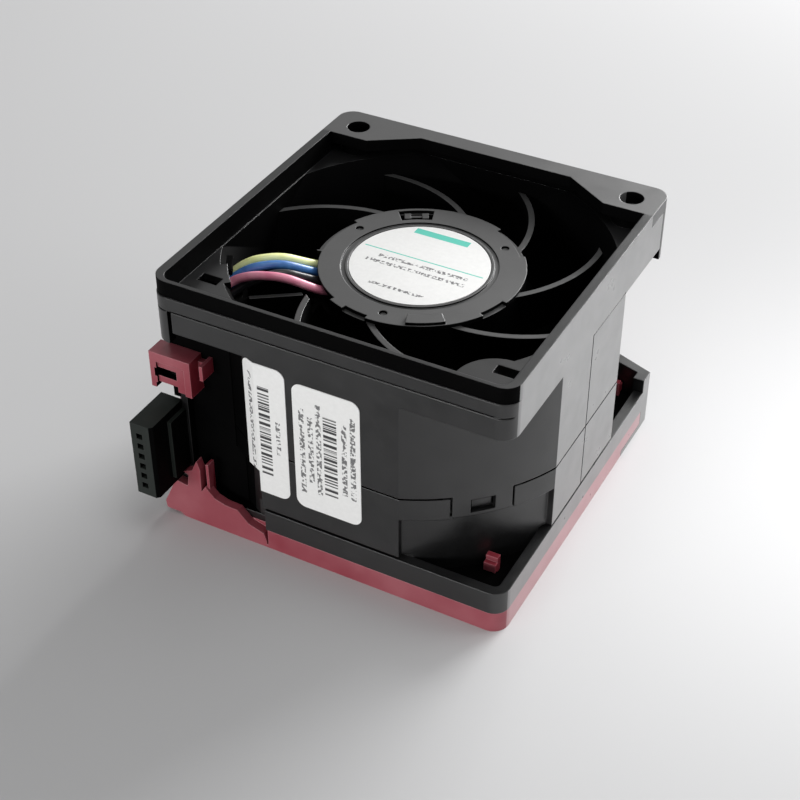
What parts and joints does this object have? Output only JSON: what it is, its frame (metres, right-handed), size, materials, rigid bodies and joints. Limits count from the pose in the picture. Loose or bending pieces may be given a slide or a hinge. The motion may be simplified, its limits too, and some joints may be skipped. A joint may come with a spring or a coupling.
{
  "type": "server fan module",
  "caption": "Square axial fan module with outlet guide vanes, motor hub, four-wire lead, side plug, clip-on tray and carrier, and a sprung release latch.",
  "frame": {"origin": "on the fan axis, in the plane of the carrier's bottom face", "axes": "+Z along the fan axis from inlet to outlet, -Y towards the plug side, +Y towards the latch side"},
  "size_m": [0.0615, 0.0723, 0.0467],
  "materials": {
    "black_plastic": "satin moulded black plastic",
    "impeller_plastic": "satin moulded black plastic",
    "maroon_plastic": "satin moulded maroon plastic",
    "white_label": "matt white sticker",
    "connector_plastic": "matt dark grey plastic",
    "contact_metal": "plated contact metal",
    "brass": "turned brass",
    "bearing_steel": "ground steel",
    "spring_steel": "bright spring steel",
    "lamination_steel": "plated sheet steel",
    "insulator_plastic": "matt insulating plastic",
    "copper_winding": "enamelled copper wire",
    "circuit_board": "green solder mask",
    "chip_plastic": "matt black moulding compound",
    "capacitor_can": "aluminium can",
    "magnet": "bonded magnet",
    "wire_yellow": "satin insulation",
    "wire_blue": "satin insulation",
    "wire_black": "satin insulation",
    "wire_red": "satin insulation"
  },
  "bodies": {
    "module": {"lower_housing": "black_plastic", "upper_housing": "black_plastic", "stator_frame": "black_plastic", "motor_cover": "black_plastic", "cover_pins": "black_plastic", "hub_label": "white_label", "front_label_narrow": "white_label", "front_label_wide": "white_label", "back_plate": "black_plastic", "tray": "black_plastic", "rear_rail": "black_plastic", "carrier_frame": "maroon_plastic", "inlet_guard": "black_plastic", "plug_housing": "connector_plastic", "plug_contacts": "contact_metal", "plug_bracket": "maroon_plastic", "bearing_tube": "brass", "bearing_lower": "bearing_steel", "bearing_upper": "bearing_steel", "preload_spring": "spring_steel", "stator_core": "lamination_steel", "coil_insulator": "insulator_plastic", "windings": "copper_winding", "driver_board": "circuit_board", "board_chips": "chip_plastic", "capacitor": "capacitor_can", "latch_pin": "bearing_steel", "latch_spring": "spring_steel", "wire_yellow": "wire_yellow", "wire_blue": "wire_blue", "wire_black": "wire_black", "wire_red": "wire_red"},
    "rotor": {"impeller": "impeller_plastic", "rotor_cup": "lamination_steel", "magnet_ring": "magnet", "rotor_shaft": "bearing_steel", "shaft_clip": "spring_steel"},
    "latch": {"release_latch": "maroon_plastic"}
  },
  "joints": [
    {"name": "rotor_spin", "type": "hinge", "parent": "module", "child": "rotor", "pos_m": [0, 0, 0.02], "axis": [0, 0, 1], "continuous": true},
    {"name": "latch_press", "type": "hinge", "parent": "module", "child": "latch", "pos_m": [0, 0.0316, 0.014], "axis": [1, 0, 0], "range_deg": [0, 7], "stiffness_Nm_per_rad": 0.05, "springref_deg": -8.59}
  ]
}
